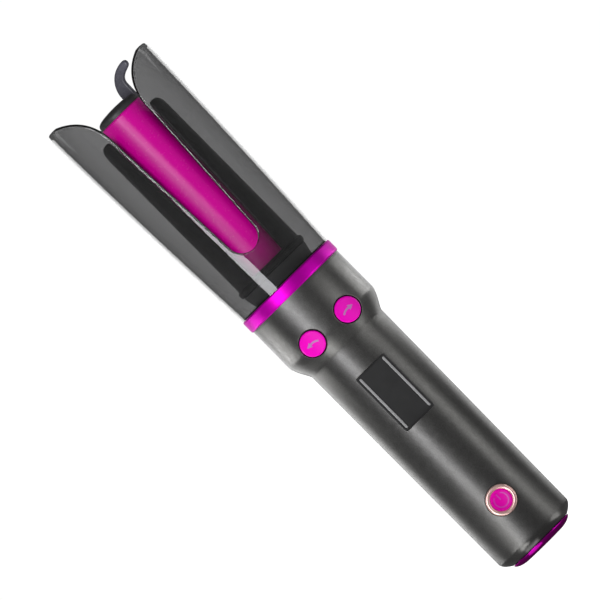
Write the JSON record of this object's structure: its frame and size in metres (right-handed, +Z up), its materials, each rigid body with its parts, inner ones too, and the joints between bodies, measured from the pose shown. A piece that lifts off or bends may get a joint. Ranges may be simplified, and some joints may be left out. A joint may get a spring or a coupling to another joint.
{
  "type": "automatic hair curler",
  "caption": "Cordless automatic hair curler: smoky guard with a hair slot, rotating winder with a catch hook, heated barrel, display and push buttons.",
  "frame": {"origin": "middle of the flat foot", "axes": "+Z up the barrel's axis from the foot to the tip; the hair slot, display and buttons face -Y; +X to the right seen from the front"},
  "size_m": [0.0602, 0.057, 0.2811],
  "materials": {
    "casing": "metallic graphite paint, satin gloss",
    "accent_metal": "magenta anodised, satin",
    "smoky_plastic": "clear smoke-grey, polished",
    "black_plastic": "heat-resistant, fine satin",
    "bush_brass": "turned",
    "steel": "plated",
    "motor_steel": "plated can, lighter than solid steel",
    "barrel_enamel": "magenta ceramic coating, gloss",
    "heater_ceramic": "white ceramic, matt",
    "spreader_aluminium": "extruded",
    "circuit_board": "green solder mask",
    "rose_gold": "rose gold, satin",
    "display_glass": "black window",
    "display_bar": "light grey light bar",
    "battery": "shrink-wrapped lithium cell",
    "hook_nylon": "dark grey, polished",
    "gear_nylon": "moulded nylon",
    "pinion_brass": "hobbed",
    "button_plastic": "magenta, satin"
  },
  "bodies": {
    "body": {"main_casing": "casing", "accent_ring": "accent_metal", "foot_cap": "accent_metal", "chamber_guard": "smoky_plastic", "bearing_deck": "black_plastic", "lower_bush": "bush_brass", "upper_bush": "bush_brass", "barrel_stem": "steel", "barrel_insulator": "black_plastic", "heated_barrel": "barrel_enamel", "barrel_cap": "black_plastic", "heater_core": "heater_ceramic", "rear_heat_spreader": "spreader_aluminium", "front_heat_spreader": "spreader_aluminium", "thermistor": "heater_ceramic", "motor_mount": "black_plastic", "drive_motor": "motor_steel", "mount_screw_1": "steel", "mount_screw_2": "steel", "mount_screw_3": "steel", "mount_screw_4": "steel", "motor_screw_1": "steel", "motor_screw_2": "steel", "button_board": "circuit_board", "left_switch": "black_plastic", "right_switch": "black_plastic", "power_ring": "rose_gold", "power_switch": "black_plastic", "display_lens": "display_glass", "display_bar_left": "display_bar", "display_bar_right": "display_bar", "display_module": "black_plastic", "battery_cell_left": "battery", "battery_cell_right": "battery", "battery_holder": "black_plastic", "main_board": "circuit_board", "board_screw_1": "steel", "board_screw_2": "steel", "charge_board": "circuit_board", "charge_screw_1": "steel", "charge_screw_2": "steel", "charging_socket": "steel"},
    "winder": {"winder_sleeve": "black_plastic", "catch_hook": "hook_nylon", "hook_screw_1": "steel", "hook_screw_2": "steel", "driven_gear": "gear_nylon", "hub_clip": "steel"},
    "pinion": {"motor_pinion": "pinion_brass"},
    "left_key": {"left_button": "button_plastic"},
    "right_key": {"right_button": "button_plastic"},
    "power_key": {"power_button": "button_plastic"}
  },
  "joints": [
    {"name": "winder_spin", "type": "hinge", "parent": "body", "child": "winder", "pos_m": [0, 0, 0.165], "axis": [0, 0, 1], "continuous": true},
    {"name": "pinion_spin", "type": "hinge", "parent": "body", "child": "pinion", "pos_m": [0, 0.0136, 0.152], "axis": [0, 0, 1], "continuous": true},
    {"name": "left_key_press", "type": "slide", "parent": "body", "child": "left_key", "axis": [0, 1, 0], "range_m": [0, 0.0007], "stiffness_N_per_m": 1200},
    {"name": "right_key_press", "type": "slide", "parent": "body", "child": "right_key", "axis": [0, 1, 0], "range_m": [0, 0.0007], "stiffness_N_per_m": 1200},
    {"name": "power_key_press", "type": "slide", "parent": "body", "child": "power_key", "axis": [0, 1, 0], "range_m": [0, 0.0007], "stiffness_N_per_m": 1200}
  ],
  "couplings": [
    {"joint": "pinion_spin", "follows": "winder_spin", "ratio": -2.4}
  ]
}
